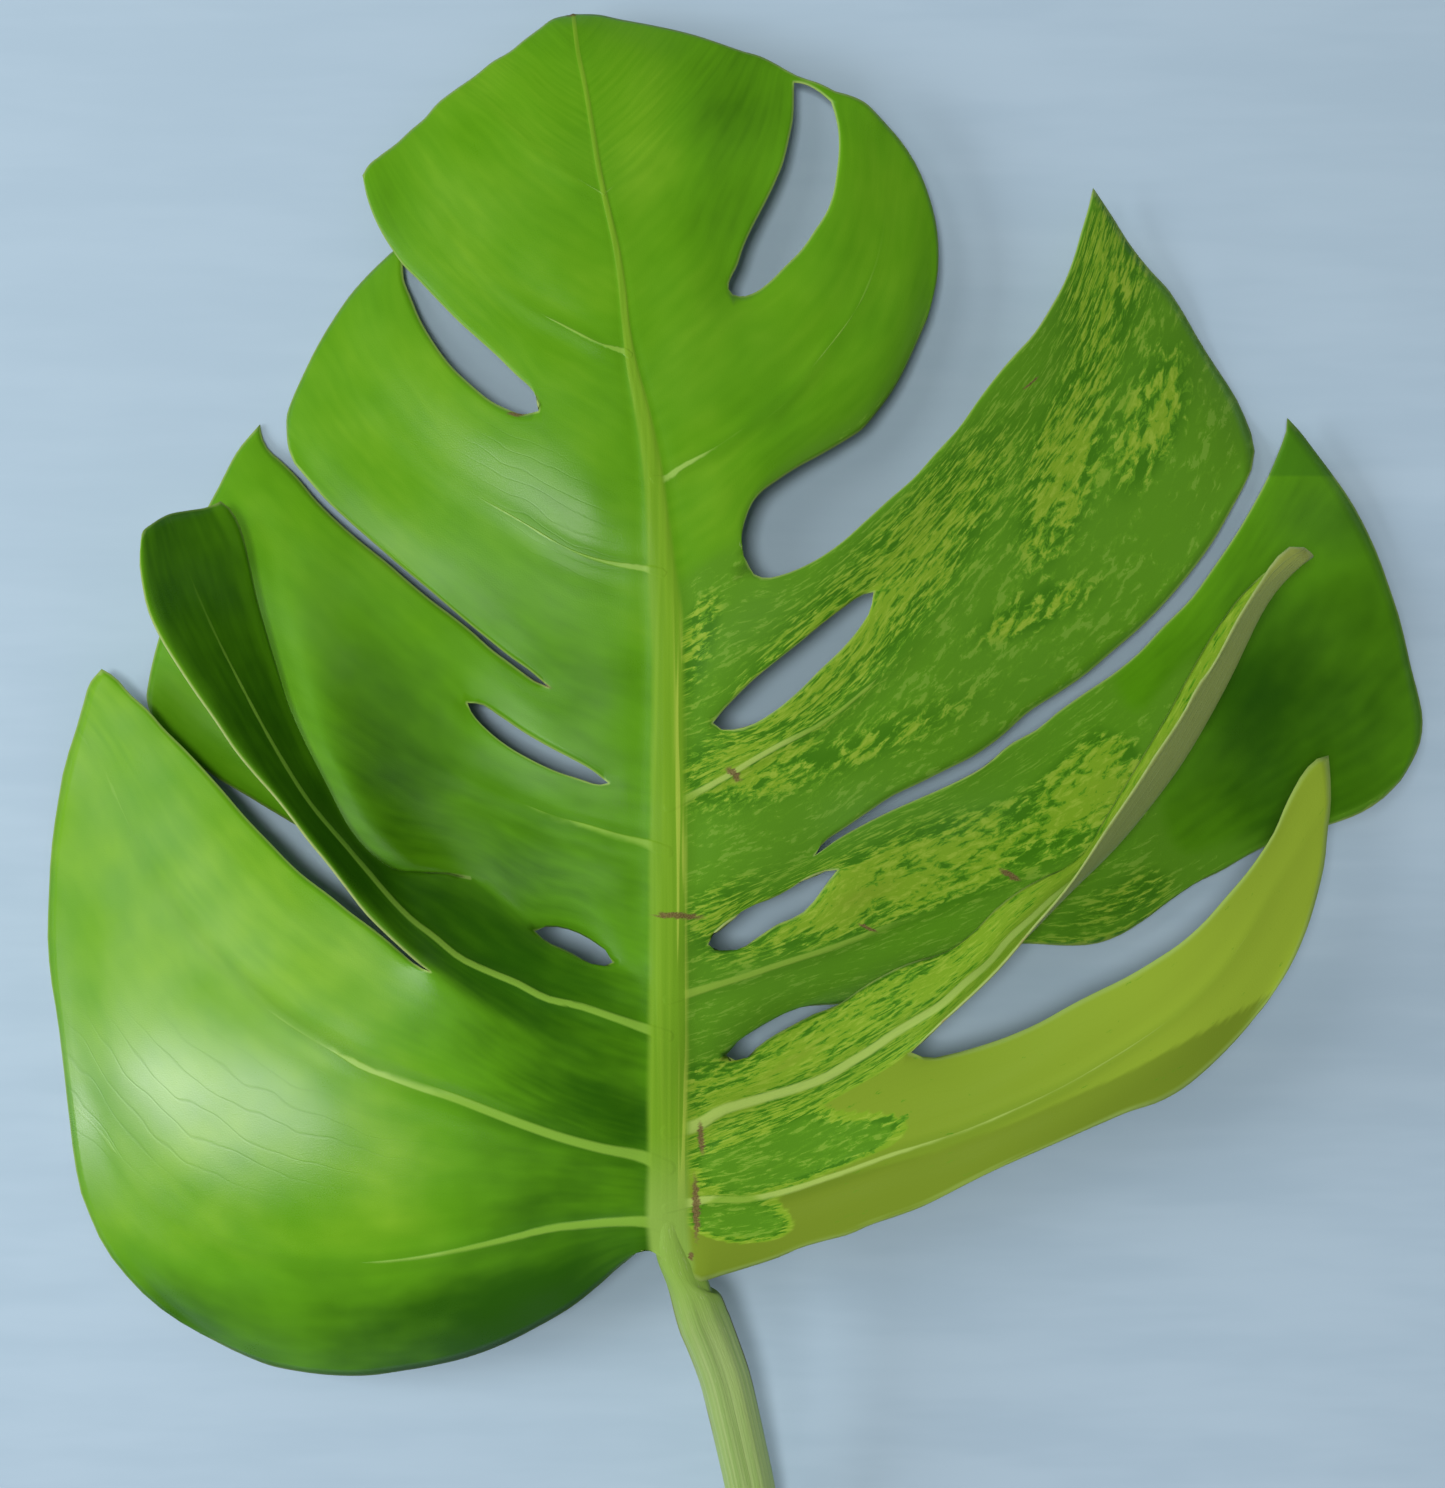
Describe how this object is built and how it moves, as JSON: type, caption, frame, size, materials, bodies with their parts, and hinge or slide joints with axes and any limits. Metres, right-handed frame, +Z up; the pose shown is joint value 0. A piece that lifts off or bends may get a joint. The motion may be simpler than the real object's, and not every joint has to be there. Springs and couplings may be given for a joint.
{
  "type": "monstera leaf",
  "caption": "Picked split leaf with slits, holes and a thick midrib underneath, lying on its margins and its cut stalk",
  "frame": {"origin": "on the surface that the leaf rests on, under the middle of its box", "axes": "+Z up, out of the leaf's upper face; +Y from the cut stalk towards the leaf's tip, its longest extent; +X to the right of the leaf seen from above with its tip away from the viewer"},
  "size_m": [0.2692, 0.349, 0.0427],
  "materials": {
    "blade": "waxy satin living leaf surface, mottled green and yellow-green",
    "stalk": "satin living stem surface, pale green with lengthwise stripes"
  },
  "bodies": {
    "root": {"leaf_blade": "blade", "petiole": "stalk"}
  },
  "joints": []
}
